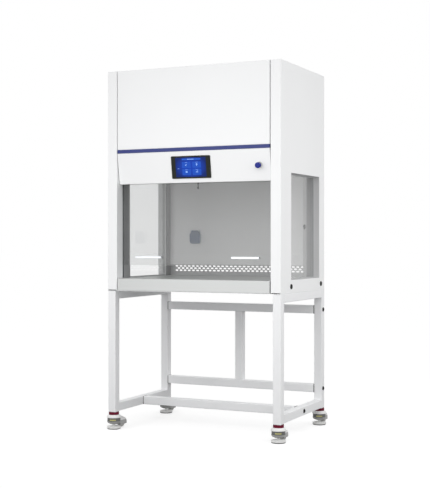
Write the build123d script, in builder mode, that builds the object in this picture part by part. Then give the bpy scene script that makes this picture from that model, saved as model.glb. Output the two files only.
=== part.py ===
from build123d import *
from math import atan2, cos, radians, sin, tan
import os

os.makedirs("parts", exist_ok=True)

# Cabinet, mm
cabinet_width = 900.0
cabinet_depth = 585.0
cabinet_height = 1058.0
column_width = 50.0
sheet = 1.5
bend = 2.5
rear_flange = 25.0
column_foot_gap = 5.0
column_foot_notch = 12.0
cover_flange = 15.0
exhaust_bottom_rise = 64.0
exhaust_top_rise = 128.0

# Work zone, mm
work_rise = 60.0
back_wall_inset = 25.0
strip_rise = 117.0
drip_edge = 5.0
ceiling_rise = 556.0
deck_rise = 728.0
apron_setback = 1.0
apron_return = 22.0

# Side windows, mm
window_front = 130.0
window_back_inset = 50.0
window_drop = 2.0
pane_inset = 12.0
pane_thickness = 5.0

# Front panels, mm
reveal = 4.0
panel_depth = 18.0
trim_height = 17.0
trim_depth = 8.0
trim_rise = 661.0
trim_edge = 1.5
control_rise = 513.0
control_setback = 22.0
control_top_flange = 20.0
control_cheek_depth = 38.0
control_hem = 10.0

# Touchscreen, mm
controls_drop = 76.0
screen_centre = -5.0
bezel_width = 204.0
bezel_height = 106.0
bezel_corner = 5.0
bezel_thickness = 4.0
bezel_edge = 1.0
display_width = 158.0
display_height = 91.0
display_thickness = 2.0
display_recess = 2.5
module_depth = 22.0
module_margin = 12.0
module_clearance = 0.5

# Push button, mm
button_inset = 58.0
button_barrel = 22.0
button_barrel_depth = 30.0
button_collar = 30.0
collar_height = 9.0
collar_edge = 2.0
collar_floor = 1.0
button_cap_radius = 11.2
button_cap_gap = 0.3
button_reach = 26.0
button_edge = 2.0
button_stem = 10.0
button_stem_depth = 24.0
button_stem_clearance = 0.05
button_travel = 4.0
button_stop = 0.5
button_nut = 14.0
button_nut_height = 6.0

# Front sash, mm
sash_thickness = 6.0
sash_front = 58.0
sash_height = 500.0
sash_opening = 63.0
guide_clearance = 0.5
guide_wall = 2.0
guide_engagement = 8.0
guide_bottom_gap = 2.0
guide_rise = 1028.0
pull_length = 140.0
pull_height = 11.0
pull_depth = 12.0
pull_wall = 3.0
pull_inset = 146.0
pull_rise = 33.5
pull_edge = 1.0

# Socket, mm
socket_inset = 151.5
socket_rise = 166.0
socket_width = 57.0
socket_height = 59.0
socket_base = 9.0
socket_recess = 40.0
socket_recess_depth = 7.0
socket_recess_corner = 6.0
contact_spacing = 19.0
contact_width = 2.2
contact_height = 7.0
contact_depth = 1.2
lid_thickness = 11.0
lid_chamfer = 9.0
lid_gap = 0.5
lid_edge = 1.0
hinge_rise = 6.0
hinge_width = 37.0
hinge_radius = 4.0
hinge_pin = 1.5
hinge_clearance = 0.05
hinge_side_gap = 0.5
hinge_ear = 5.0

# Corner duct and airflow probe, mm
duct_width = 52.0
duct_side = 12.0
duct_chamfer = 24.0
duct_clearance = 1.0
duct_plug_rise = 250.0
probe_across = -20.6
probe_depth = 120.0
probe_length = 68.0
probe_radius = 4.0
probe_tip = 12.0
probe_neck = 2.5
probe_flange = 9.0
probe_flange_height = 3.0

# Lamps, mm
lamp_inset = 90.0
lamp_width = 24.0
lamp_height = 28.0
lamp_base = 12.0
lamp_gap = 2.0
tube_radius = 8.0
holder_length = 20.0
holder_width = 20.0

# Slot strip, mm
slot_length = 16.0
slot_height = 8.0
slot_pitch = 24.2
slot_row_pitch = 11.6
slot_row_rise = 26.0
slot_margin = 40.0

# Air handling, mm
plenum_gap = 2.0
diffuser_slot = 6.0
diffuser_pitch = 24.0
diffuser_margin = 30.0
filter_height = 69.0
filter_wall = 16.0
filter_pleat = 16.0
filter_pleat_height = 50.0
media = 2.0
blower_width = 120.0
blower_depth = 300.0
blower_rise = 164.0
scroll_start = 100.0
scroll_end = 142.0
scroll_wall = 2.0
outlet_inner = 30.0
inlet_radius = 62.0
impeller_radius = 86.0
impeller_width = 92.0
impeller_eye = 64.0
impeller_plate = 2.0
blade_count = 11
blade_root = 50.0
blade_sweep = 42.0
blade_curve = 60.0
hub_radius = 14.0
hub_length = 30.0
shaft_radius = 6.0
shaft_clearance = 0.06
shaft_length = 60.0
motor_radius = 46.0
motor_length = 84.0
motor_edge = 8.0
motor_flange = 56.0
motor_flange_height = 5.0
prefilter_width = 520.0
prefilter_length = 260.0
prefilter_height = 20.0
prefilter_wall = 10.0
prefilter_pleat = 20.0
prefilter_pleat_height = 12.0
intake_slot = 200.0
intake_slot_width = 8.0
intake_pitch = 22.0
intake_count = 10
intake_columns = 2

# Electrics, mm
control_box_width = 320.0
control_box_height = 220.0
control_box_depth = 38.0
control_box_rise = 748.0
control_box_edge = 3.0
inlet_inset = 120.0
inlet_rise = 828.0
inlet_width = 25.0
inlet_tall = 17.0
inlet_depth = 16.0
inlet_wall = 2.0
inlet_corner = 2.0
inlet_flange = 8.0
inlet_flange_thickness = 2.5
inlet_clearance = 0.3
inlet_pin_width = 4.0
inlet_pin_thickness = 2.0
inlet_pin_length = 11.0
inlet_pin_spacing = 7.0
inlet_pin_rise = 2.5

# Stand, mm
stand_height = 672.0
leg_bottom = 86.0
leg_setback = 3.0
tube_size = 40.0
tube_wall = 2.0
tube_corner = 3.0
tube_inner_corner = 1.0
rear_bar_drop = 100.0
rear_bar_low = 181.0
cross_rail_inset = 287.0
cross_rail_height = 106.0
end_plate = 5.0
vent_radius = 4.0
top_bolt_inset = 120.0

# Stand bolts, mm
bolt_radius = 4.0
bolt_clearance = 0.4
bolt_head = 8.0
bolt_head_height = 4.5
bolt_head_edge = 1.5
bolt_key = 3.0
bolt_key_depth = 2.5
bolt_tail = 3.0

# Hole plugs, mm
plug_radius = 12.5
plug_hole = 10.0
plug_clearance = 0.3
plug_height = 3.0
plug_taper = 30.0
plug_stem = 6.0
plug_front = 130.0
plug_back_inset = 54.0
plug_rise = 30.0

# Levelling casters, mm
trail = 56.5
wheel_radius = 22.0
wheel_width = 18.0
wheel_lift = 3.0
wheel_gap = 2.0
wheel_edge = 3.0
wheel_web = 4.0
wheel_rim = 5.0
wheel_hub = 9.0
cheek = 4.0
fender = 2.5
fork_root_radius = 12.0
fork_root_reach = 18.0
fork_root_rise = 56.0
fork_bottom = 17.0
axle_radius = 4.0
axle_clearance = 0.06
foot_radius = 33.0
foot_sole = 31.0
foot_sole_rise = 3.0
foot_rim = 13.0
foot_hub = 12.0
foot_crown = 16.0
foot_travel = 8.0
foot_gap = 1.0
shank_radius = 7.0
shank_top = 40.0
shank_clearance = 0.06
housing_bottom = 25.0
housing_base_radius = 19.0
housing_top = 70.0
bowl_radius = 33.5
bowl_top = 38.0
bowl_knee_radius = 30.0
bowl_knee = 30.0
band_radius = 31.0
band_top = 56.0
shoulder_radius = 35.0
shoulder_top = 60.0
crown_knee_radius = 32.0
crown_knee = 66.5
crown_radius = 25.0
stem_radius = 6.0
stem_end = 53.0
stem_clearance = 0.06
thumbwheel_radius = 25.0
thumbwheel_gap = 0.4
thumbwheel_teeth = 20
thumbwheel_notch = 3.0
stem_flange = 2.0
insert_height = 18.0
insert_clearance = 0.15
rest_angles = {
    ("front", "left"): 83.0,
    ("front", "right"): 90.0,
    ("rear", "left"): 90.0,
    ("rear", "right"): 90.0,
}

# Levels over the floor
cabinet_top = stand_height + cabinet_height
exhaust_bottom = stand_height + exhaust_bottom_rise
exhaust_top = stand_height + exhaust_top_rise
work_height = stand_height + work_rise
strip_top = stand_height + strip_rise
slot_row_bottom = work_height + slot_row_rise
ceiling_height = stand_height + ceiling_rise
deck_height = stand_height + deck_rise
window_top = ceiling_height - window_drop
trim_bottom = stand_height + trim_rise
control_bottom = stand_height + control_rise
control_box_bottom = stand_height + control_box_rise
sash_bottom = work_height + sash_opening
guide_top = stand_height + guide_rise
socket_bottom = work_height + socket_rise
duct_plug_height = work_height + duct_plug_rise
probe_bottom = ceiling_height - probe_length
inlet_height = stand_height + inlet_rise
plug_level = stand_height + plug_rise
rear_bar_top = stand_height - rear_bar_drop

# Depths behind the cabinet's front face
back_wall_depth = cabinet_depth - back_wall_inset
window_back = back_wall_depth - window_back_inset
plug_back = cabinet_depth - plug_back_inset
cross_rail_depth = cabinet_depth - cross_rail_inset

# The plan origin is the middle of the whole object, caster hoods and push button included
slope = atan2(control_setback, trim_bottom - control_bottom)
front_leg = leg_setback + tube_size / 2
rear_leg = cabinet_depth - tube_size / 2
button_front = (button_reach - button_edge) * cos(slope) + button_edge
button_front += (button_cap_radius - button_edge - controls_drop) * sin(slope)
rear_reach = rear_leg + trail + wheel_radius + wheel_gap + fender
front = -(rear_reach - button_front) / 2
leg_depths = {"front": front_leg, "rear": rear_leg}

# Levels and faces that several pieces share
sides = {"left": -1, "right": 1}
half = cabinet_width / 2
inner = half - column_width
inner_width = 2 * inner
shell_inner = half - sheet
pan_top = stand_height + sheet
panel_half = inner - reveal
button_centre = inner - button_inset
pull_centre = inner - pull_inset
socket_centre = socket_inset - inner
inlet_across = inlet_inset - half
lamp_length = inner_width - 2 * lamp_inset
slot_columns = int((inner_width - slot_margin) // slot_pitch)
diffuser_count = int((inner_width - diffuser_margin) // diffuser_pitch)
trim_top = trim_bottom + trim_height
guide_front = sash_front - guide_clearance - guide_wall
guide_back = sash_front + sash_thickness + guide_clearance + guide_wall
plenum_front = guide_back + plenum_gap
plenum_back = plenum_front + sheet
leg_across = half - tube_size / 2
bar_half = half - tube_size
rail_top = stand_height - tube_size / 2
socket_front = back_wall_depth - socket_base
hinge_depth = socket_front - lid_gap - lid_thickness / 2
hinge_height = socket_bottom + socket_height + hinge_rise
blower_height = deck_height + sheet + blower_rise


def facing_front(depth):
    # x runs across, y runs up, and a positive extrusion comes forward
    return Plane(origin=(0, front + depth, 0), x_dir=(1, 0, 0), z_dir=(0, -1, 0))


def facing_right(across):
    # x runs from front to back, y runs up, and a positive extrusion goes right
    return Plane(origin=(across, 0, 0), x_dir=(0, 1, 0), z_dir=(1, 0, 0))


def area(first_x, last_x, first_y, last_y, mode=Mode.ADD):
    with Locations(((first_x + last_x) / 2, (first_y + last_y) / 2)):
        Rectangle(abs(last_x - first_x), abs(last_y - first_y), mode=mode)


def window(margin=0.0, mode=Mode.ADD):
    area(
        front + window_front - margin,
        front + window_back + margin,
        work_height - margin,
        window_top + margin,
        mode,
    )


def tube_section():
    RectangleRounded(tube_size, tube_size, tube_corner)
    bore = tube_size - 2 * tube_wall
    RectangleRounded(bore, bore, tube_inner_corner, mode=Mode.SUBTRACT)


def pleats(width, pitch, height):
    # a closed zigzag strip, one media thickness tall
    folds = 2 * round(width / pitch)
    top = [(width * (i / folds - 0.5), height / 2 * (-1) ** i) for i in range(folds + 1)]
    return top + [(x, z - 2 * media) for x, z in reversed(top)]


# Base pan, the bottom sheet with a rear upstand below the exhaust gap
with BuildPart() as base_pan:
    with BuildSketch(Plane.XY.offset(stand_height)) as pan_outline:
        area(-half, half, front, front + cabinet_depth)
        fillet(pan_outline.vertices(), bend)
    extrude(amount=sheet)
    with BuildSketch(Plane.XY.offset(stand_height)):
        for sign in sides.values():
            area(
                sign * (inner + sheet),
                sign * shell_inner,
                front - sheet,
                front + column_foot_notch,
            )
    extrude(amount=sheet, mode=Mode.SUBTRACT)
    with BuildSketch(facing_front(cabinet_depth - sheet)):
        upstand = half - rear_flange - sheet
        area(-upstand, upstand, stand_height, exhaust_bottom)
    extrude(amount=sheet)
base_pan.part.label = "base_pan"
export_step(base_pan.part, "parts/base_pan.step")

# Side shells, liners and window panes
for side, sign in sides.items():
    # Outer skin, folded round the front column and the rear flange
    with BuildPart() as side_shell:
        with BuildSketch(Plane.XY.offset(pan_top)):
            with BuildLine():
                FilletPolyline(
                    (sign * (inner + sheet / 2), front + guide_front),
                    (sign * (inner + sheet / 2), front + sheet / 2),
                    (sign * (half - sheet / 2), front + sheet / 2),
                    (sign * (half - sheet / 2), front + cabinet_depth - 1.5 * sheet),
                    (sign * (half - rear_flange), front + cabinet_depth - 1.5 * sheet),
                    radius=bend,
                )
            trace(line_width=sheet)
        extrude(amount=cabinet_top - pan_top)
        with BuildSketch(facing_right(sign * half)):
            window()
            for depth in (plug_front, plug_back):
                with Locations((front + depth, plug_level)):
                    Circle(plug_hole)
        extrude(amount=-sign * sheet, mode=Mode.SUBTRACT)
        with BuildSketch(Plane.XY.offset(cabinet_top - cover_flange)):
            area(sign * inner, sign * (inner + sheet + bend), front + sheet, front + guide_front)
        extrude(amount=cover_flange, mode=Mode.SUBTRACT)
        # a narrow gap across the column's front, over the leg
        with BuildSketch(Plane.XY.offset(pan_top)):
            area(sign * (inner + sheet), sign * shell_inner, front, front + sheet)
        extrude(amount=column_foot_gap - sheet, mode=Mode.SUBTRACT)
    side_shell.part.label = f"side_shell_{side}"
    export_step(side_shell.part, f"parts/side_shell_{side}.step")

    # Inner skin with the window jamb, a square frame that reaches the outer skin
    with BuildPart() as side_liner:
        with BuildSketch(facing_right(sign * inner)):
            area(
                front + guide_back,
                front + back_wall_depth + sheet,
                pan_top,
                deck_height + sheet,
            )
            window(mode=Mode.SUBTRACT)
        extrude(amount=sign * sheet)
        with BuildSketch(facing_right(sign * inner)):
            window(margin=sheet)
            window(mode=Mode.SUBTRACT)
        extrude(amount=sign * (shell_inner - inner))
    side_liner.part.label = f"side_liner_{side}"
    export_step(side_liner.part, f"parts/side_liner_{side}.step")

    with BuildPart() as side_window:
        with BuildSketch(facing_right(sign * (inner + pane_inset))):
            window()
        extrude(amount=sign * pane_thickness)
    side_window.part.label = f"side_window_{side}"
    export_step(side_window.part, f"parts/side_window_{side}.step")

# Top cover, a tray turned down, notched for the front panel and slotted for the intake
with BuildPart() as top_cover:
    with BuildSketch(Plane.XY.offset(cabinet_top - cover_flange)) as cover_outline:
        area(-shell_inner, shell_inner, front + sheet, front + cabinet_depth - 2 * sheet)
        fillet(cover_outline.vertices(), bend)
        area(-inner, inner, front + sheet, front + panel_depth, Mode.SUBTRACT)
    extrude(amount=cover_flange)
    offset(amount=-sheet, openings=top_cover.faces().sort_by(Axis.Z)[0])
    with BuildSketch(Plane.XY.offset(cabinet_top - sheet)):
        with Locations((0, front + blower_depth)):
            with GridLocations(intake_slot + intake_pitch, intake_pitch, intake_columns, intake_count):
                SlotOverall(intake_slot, intake_slot_width)
    extrude(amount=sheet, mode=Mode.SUBTRACT)
top_cover.part.label = "top_cover"
export_step(top_cover.part, "parts/top_cover.step")

# Pleated prefilter in its card frame, directly under the intake slots
with BuildPart() as prefilter:
    with BuildSketch(Plane.XY.offset(cabinet_top - sheet - prefilter_height)):
        with Locations((0, front + blower_depth)):
            Rectangle(prefilter_width, prefilter_length)
            Rectangle(
                prefilter_width - 2 * prefilter_wall,
                prefilter_length - 2 * prefilter_wall,
                mode=Mode.SUBTRACT,
            )
    extrude(amount=prefilter_height)
    with BuildSketch(
        Plane(
            origin=(0, front + blower_depth, cabinet_top - sheet - prefilter_height / 2),
            x_dir=(1, 0, 0),
            z_dir=(0, -1, 0),
        )
    ):
        with BuildLine():
            Polyline(
                *pleats(
                    prefilter_width - prefilter_wall,
                    prefilter_pleat,
                    prefilter_pleat_height,
                ),
                close=True,
            )
        make_face()
    extrude(amount=(prefilter_length - prefilter_wall) / 2, both=True)
prefilter.part.label = "prefilter"
export_step(prefilter.part, "parts/prefilter.step")

# Rear panel above the exhaust gap, with the mains inlet
with BuildPart() as rear_panel:
    with BuildSketch(facing_front(cabinet_depth)):
        area(-shell_inner, shell_inner, exhaust_top, cabinet_top)
        with Locations((inlet_across, inlet_height)):
            Rectangle(
                inlet_width + 2 * (inlet_wall + inlet_clearance),
                inlet_tall + 2 * (inlet_wall + inlet_clearance),
                mode=Mode.SUBTRACT,
            )
    extrude(amount=sheet)
rear_panel.part.label = "rear_panel"
export_step(rear_panel.part, "parts/rear_panel.step")

with BuildPart() as power_inlet:
    with BuildSketch(facing_front(cabinet_depth)):
        with Locations((inlet_across, inlet_height)):
            RectangleRounded(
                inlet_width + 2 * inlet_flange, inlet_tall + 2 * inlet_flange, inlet_corner
            )
    extrude(amount=-inlet_flange_thickness)
    with BuildSketch(facing_front(cabinet_depth)):
        with Locations((inlet_across, inlet_height)):
            Rectangle(inlet_width + 2 * inlet_wall, inlet_tall + 2 * inlet_wall)
    extrude(amount=inlet_depth)
    with BuildSketch(facing_front(cabinet_depth - inlet_depth + inlet_wall)):
        with Locations((inlet_across, inlet_height)):
            RectangleRounded(inlet_width, inlet_tall, inlet_corner)
    extrude(amount=-inlet_depth - inlet_flange_thickness, mode=Mode.SUBTRACT)
    with BuildSketch(facing_front(cabinet_depth - inlet_depth + inlet_wall)):
        with Locations(
            (inlet_across - inlet_pin_spacing, inlet_height - inlet_pin_rise),
            (inlet_across, inlet_height + inlet_pin_rise),
            (inlet_across + inlet_pin_spacing, inlet_height - inlet_pin_rise),
        ):
            Rectangle(inlet_pin_thickness, inlet_pin_width)
    extrude(amount=-inlet_pin_length)
power_inlet.part.label = "power_inlet"
export_step(power_inlet.part, "parts/power_inlet.step")

# Back wall of the chamber, with a forward drip edge at its foot
with BuildPart() as back_wall:
    with BuildSketch(facing_front(back_wall_depth + sheet)):
        area(-inner, inner, strip_top + sheet, deck_height)
    extrude(amount=sheet)
    with BuildSketch(facing_front(back_wall_depth + sheet)):
        area(-inner, inner - duct_width, strip_top, strip_top + sheet)
    extrude(amount=sheet + drip_edge)
back_wall.part.label = "back_wall"
export_step(back_wall.part, "parts/back_wall.step")

# Slot strip, three staggered rows that let the air out behind the work surface
with BuildPart() as slot_strip:
    with BuildSketch(facing_front(back_wall_depth + sheet)):
        area(-inner, inner, pan_top, strip_top)
        for row, columns in enumerate((slot_columns, slot_columns - 1, slot_columns)):
            with Locations((0, slot_row_bottom + row * slot_row_pitch)):
                with GridLocations(slot_pitch, slot_pitch, columns, 1):
                    SlotOverall(slot_length, slot_height, mode=Mode.SUBTRACT)
    extrude(amount=sheet)
slot_strip.part.label = "slot_strip"
export_step(slot_strip.part, "parts/slot_strip.step")

# Work surface, folded down into the front apron and back over the base pan
with BuildPart() as work_surface:
    with BuildSketch(facing_right(-panel_half)):
        with BuildLine():
            FilletPolyline(
                (front + back_wall_depth, work_height - sheet / 2),
                (front + apron_setback + sheet / 2, work_height - sheet / 2),
                (front + apron_setback + sheet / 2, pan_top + sheet / 2),
                (front + apron_setback + apron_return, pan_top + sheet / 2),
                radius=bend,
            )
        trace(line_width=sheet)
    extrude(amount=2 * panel_half)
    # the corner duct passes through to the base pan
    with BuildSketch(Plane.XY.offset(work_height)):
        area(
            inner - duct_width - duct_clearance,
            inner,
            front + back_wall_depth - duct_side - duct_chamfer - sheet / 2 - duct_clearance,
            front + back_wall_depth,
        )
    extrude(amount=-sheet, mode=Mode.SUBTRACT)
work_surface.part.label = "work_surface"
export_step(work_surface.part, "parts/work_surface.step")

# Upper front panel, a tray open to the back with side lips that sit on the columns
with BuildPart() as upper_front_panel:
    with BuildSketch(facing_front(panel_depth)):
        area(-panel_half, panel_half, trim_top, cabinet_top)
    extrude(amount=panel_depth)
    fillet(upper_front_panel.faces().sort_by(Axis.Y)[0].edges(), bend)
    offset(amount=-sheet, openings=upper_front_panel.faces().sort_by(Axis.Y)[-1])
    with BuildSketch(facing_front(panel_depth)):
        for sign in sides.values():
            area(sign * (panel_half - sheet), sign * inner, trim_top, cabinet_top - cover_flange)
    extrude(amount=sheet)
upper_front_panel.part.label = "upper_front_panel"
export_step(upper_front_panel.part, "parts/upper_front_panel.step")

with BuildPart() as trim_strip:
    with BuildSketch(facing_front(trim_depth)):
        area(-panel_half, panel_half, trim_bottom, trim_top)
    extrude(amount=trim_depth)
    fillet(trim_strip.faces().sort_by(Axis.Y)[0].edges().filter_by(Axis.X), trim_edge)
trim_strip.part.label = "trim_strip"
export_step(trim_strip.part, "parts/trim_strip.step")


def control_face(height, inset=0.0):
    # depth of the sloped face at a height, or of a line inside it
    return front + (trim_bottom - height) * tan(slope) + inset / cos(slope)


# The sloped face's own plane: origin on its top edge, x across, y up the slope
control_plane = Plane(
    origin=(0, front, trim_bottom), x_dir=(1, 0, 0), z_dir=(0, -cos(slope), -sin(slope))
)

# Control panel, folded at top and bottom, closed by end cheeks with side lips
with BuildPart() as control_panel:
    fold_top = trim_bottom - sheet / 2
    fold_bottom = control_bottom + sheet / 2
    hem_depth = front + control_cheek_depth - sheet / 2
    with BuildSketch(facing_right(-panel_half)):
        with BuildLine():
            FilletPolyline(
                (front + control_top_flange, fold_top),
                (control_face(fold_top, sheet / 2), fold_top),
                (control_face(fold_bottom, sheet / 2), fold_bottom),
                (hem_depth, fold_bottom),
                (hem_depth, control_bottom + control_hem),
                radius=bend,
            )
        trace(line_width=sheet)
    extrude(amount=2 * panel_half)
    for sign in sides.values():
        with BuildSketch(facing_right(sign * panel_half)):
            with BuildLine():
                Polyline(
                    (control_face(trim_bottom, sheet), trim_bottom),
                    (control_face(control_bottom, sheet), control_bottom),
                    (front + control_cheek_depth, control_bottom),
                    (front + control_cheek_depth, trim_bottom),
                    close=True,
                )
            make_face()
        extrude(amount=-sign * sheet)
        with BuildSketch(facing_front(control_cheek_depth)):
            area(sign * (panel_half - sheet), sign * inner, control_bottom, trim_bottom)
        extrude(amount=sheet)
    with BuildSketch(control_plane):
        with Locations((screen_centre, -controls_drop)):
            Rectangle(
                bezel_width - 2 * (module_margin - module_clearance),
                bezel_height - 2 * (module_margin - module_clearance),
            )
        with Locations((button_centre, -controls_drop)):
            Circle(button_barrel / 2 + button_cap_gap)
    extrude(amount=-2 * sheet, mode=Mode.SUBTRACT)
control_panel.part.label = "control_panel"
export_step(control_panel.part, "parts/control_panel.step")

# Touchscreen, a bezel with its module through the panel and a glass in its recess
with BuildPart() as screen_bezel:
    with BuildSketch(control_plane):
        with Locations((screen_centre, -controls_drop)):
            RectangleRounded(bezel_width, bezel_height, bezel_corner)
    extrude(amount=bezel_thickness)
    bezel_rim = screen_bezel.faces().sort_by(Axis.Y)[0].edges()
    chamfer(bezel_rim, bezel_edge)
    with BuildSketch(control_plane.offset(bezel_thickness - display_recess)):
        with Locations((screen_centre, -controls_drop)):
            Rectangle(display_width, display_height)
    extrude(amount=display_recess, mode=Mode.SUBTRACT)
    with BuildSketch(control_plane):
        with Locations((screen_centre, -controls_drop)):
            Rectangle(bezel_width - 2 * module_margin, bezel_height - 2 * module_margin)
    extrude(amount=-module_depth)
screen_bezel.part.label = "screen_bezel"
export_step(screen_bezel.part, "parts/screen_bezel.step")

with BuildPart() as screen_glass:
    with BuildSketch(control_plane.offset(bezel_thickness - display_recess)):
        with Locations((screen_centre, -controls_drop)):
            Rectangle(display_width, display_height)
    extrude(amount=display_thickness)
screen_glass.part.label = "screen_glass"
export_step(screen_glass.part, "parts/screen_glass.step")

# Push button, a collar with barrel and nut, and the cap that travels in it
with BuildPart() as button_bezel:
    with BuildSketch(control_plane):
        with Locations((button_centre, -controls_drop)):
            Circle(button_collar / 2)
    extrude(amount=collar_height)
    fillet(button_bezel.faces().sort_by(Axis.Y)[0].edges(), collar_edge)
    with BuildSketch(control_plane):
        with Locations((button_centre, -controls_drop)):
            Circle(button_barrel / 2)
    extrude(amount=-button_barrel_depth)
    with BuildSketch(control_plane.offset(-sheet)):
        with Locations((button_centre, -controls_drop)):
            RegularPolygon(button_nut, 6)
    extrude(amount=-button_nut_height)
    with BuildSketch(control_plane.offset(collar_floor)):
        with Locations((button_centre, -controls_drop)):
            Circle(button_cap_radius + button_cap_gap)
    extrude(amount=collar_height, mode=Mode.SUBTRACT)
    with BuildSketch(control_plane.offset(collar_floor)):
        with Locations((button_centre, -controls_drop)):
            Circle(button_stem / 2 + button_stem_clearance)
    extrude(amount=-button_barrel_depth - collar_floor, mode=Mode.SUBTRACT)
button_bezel.part.label = "button_bezel"
export_step(button_bezel.part, "parts/button_bezel.step")

with BuildPart() as button_cap:
    cap_base = collar_floor + button_travel + button_stop
    with BuildSketch(control_plane.offset(cap_base)):
        with Locations((button_centre, -controls_drop)):
            Circle(button_cap_radius)
    extrude(amount=button_reach - cap_base)
    fillet(button_cap.faces().sort_by(Axis.Y)[0].edges(), button_edge)
    with BuildSketch(control_plane.offset(cap_base)):
        with Locations((button_centre, -controls_drop)):
            Circle(button_stem / 2)
    extrude(amount=-button_stem_depth - cap_base)
button_cap.part.label = "button_cap"
export_step(button_cap.part, "parts/button_cap.step")

# Front sash, its guides let into the side walls and its two finger pulls
with BuildPart() as sash_glass:
    glass_half = inner + guide_engagement
    with BuildSketch(facing_front(sash_front + sash_thickness)):
        area(-glass_half, glass_half, sash_bottom, sash_bottom + sash_height)
    extrude(amount=sash_thickness)
sash_glass.part.label = "sash_glass"
export_step(sash_glass.part, "parts/sash_glass.step")

with BuildPart() as sash_guides:
    with BuildSketch(Plane.XY.offset(work_height + guide_bottom_gap)):
        guide_floor = glass_half + guide_clearance
        for sign in sides.values():
            area(
                sign * inner,
                sign * (guide_floor + guide_wall),
                front + guide_front,
                front + guide_back,
            )
            area(
                sign * inner,
                sign * guide_floor,
                front + guide_front + guide_wall,
                front + guide_back - guide_wall,
                Mode.SUBTRACT,
            )
    extrude(amount=guide_top - work_height - guide_bottom_gap)
sash_guides.part.label = "sash_guides"
export_step(sash_guides.part, "parts/sash_guides.step")

with BuildPart() as sash_pulls:
    pull_bottom = sash_bottom + pull_rise
    for sign in sides.values():
        with BuildSketch(facing_right(sign * pull_centre)):
            area(
                front + sash_front - pull_depth,
                front + sash_front,
                pull_bottom,
                pull_bottom + pull_height,
            )
            area(
                front + sash_front - pull_depth + pull_wall,
                front + sash_front - pull_wall,
                pull_bottom,
                pull_bottom + pull_height - pull_wall,
                Mode.SUBTRACT,
            )
        extrude(amount=pull_length / 2, both=True)
    fillet(sash_pulls.faces().group_by(Axis.Y)[0].edges(), pull_edge)
sash_pulls.part.label = "sash_pulls"
export_step(sash_pulls.part, "parts/sash_pulls.step")

# Flip-lid socket on the back wall
with BuildPart() as socket_box:
    with BuildSketch(facing_front(back_wall_depth)):
        with Locations((socket_centre, socket_bottom + socket_height / 2)):
            Rectangle(socket_width, socket_height)
    extrude(amount=socket_base)
    corner_edges = socket_box.edges().filter_by(Axis.Y)
    chamfer(corner_edges, lid_chamfer)
    with BuildSketch(facing_front(socket_front + socket_recess_depth)):
        with Locations((socket_centre, socket_bottom + socket_height / 2)):
            RectangleRounded(socket_recess, socket_recess, socket_recess_corner)
    extrude(amount=socket_recess_depth, mode=Mode.SUBTRACT)
    with BuildSketch(facing_front(socket_front + socket_recess_depth)):
        with Locations((socket_centre, socket_bottom + socket_height / 2)):
            with GridLocations(contact_spacing, contact_spacing, 2, 1):
                Rectangle(contact_width, contact_height)
    extrude(amount=-contact_depth, mode=Mode.SUBTRACT)
    for sign in sides.values():
        ear = socket_centre + sign * (hinge_width / 2 + hinge_side_gap)
        with BuildSketch(facing_right(ear)):
            area(
                front + hinge_depth,
                front + back_wall_depth,
                hinge_height - hinge_radius,
                hinge_height + hinge_radius,
            )
            with Locations((front + hinge_depth, hinge_height)):
                Circle(hinge_radius)
        extrude(amount=sign * hinge_ear)
    with BuildSketch(facing_right(socket_centre)):
        with Locations((front + hinge_depth, hinge_height)):
            Circle(hinge_pin)
    extrude(amount=hinge_width / 2 + hinge_side_gap + hinge_ear, both=True)
    with BuildSketch(facing_front(back_wall_depth)):
        area(
            socket_centre - hinge_width / 2 - hinge_side_gap - hinge_ear,
            socket_centre + hinge_width / 2 + hinge_side_gap + hinge_ear,
            socket_bottom + socket_height - lid_chamfer,
            hinge_height + hinge_radius,
        )
    extrude(amount=contact_width)
socket_box.part.label = "socket_box"
export_step(socket_box.part, "parts/socket_box.step")

with BuildPart() as socket_lid:
    with BuildSketch(facing_front(socket_front - lid_gap)):
        with Locations((socket_centre, socket_bottom + socket_height / 2)):
            Rectangle(socket_width, socket_height)
    extrude(amount=lid_thickness)
    corner_edges = socket_lid.edges().filter_by(Axis.Y)
    chamfer(corner_edges, lid_chamfer)
    chamfer(socket_lid.faces().sort_by(Axis.Y)[0].edges(), lid_edge)
    with BuildSketch(facing_right(socket_centre)):
        with Locations((front + hinge_depth, hinge_height)):
            Circle(hinge_radius)
        area(
            front + hinge_depth - hinge_radius,
            front + hinge_depth + hinge_radius,
            socket_bottom + socket_height - lid_edge,
            hinge_height,
        )
        with Locations((front + hinge_depth, hinge_height)):
            Circle(hinge_pin + hinge_clearance, mode=Mode.SUBTRACT)
    extrude(amount=hinge_width / 2, both=True)
socket_lid.part.label = "socket_lid"
export_step(socket_lid.part, "parts/socket_lid.step")

# Corner duct, a folded cover from the base pan to the ceiling
duct_left = inner - duct_width
duct_bend = front + back_wall_depth - duct_side
duct_middle = duct_left + (sheet + duct_chamfer) / 2
with BuildPart() as service_duct:
    with BuildSketch(Plane.XY.offset(pan_top)):
        with BuildLine():
            FilletPolyline(
                (duct_left + sheet / 2, front + back_wall_depth),
                (duct_left + sheet / 2, duct_bend),
                (duct_left + sheet / 2 + duct_chamfer, duct_bend - duct_chamfer),
                (inner, duct_bend - duct_chamfer),
                radius=bend,
            )
        trace(line_width=sheet)
    extrude(amount=ceiling_height - pan_top)
    duct_face = Plane(
        origin=(duct_middle, duct_bend - duct_chamfer / 2, duct_plug_height),
        x_dir=(1, -1, 0),
        z_dir=(-1, -1, 0),
    )
    with BuildSketch(duct_face):
        Circle(plug_hole)
    extrude(amount=2 * sheet, both=True, mode=Mode.SUBTRACT)
service_duct.part.label = "service_duct"
export_step(service_duct.part, "parts/service_duct.step")

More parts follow.
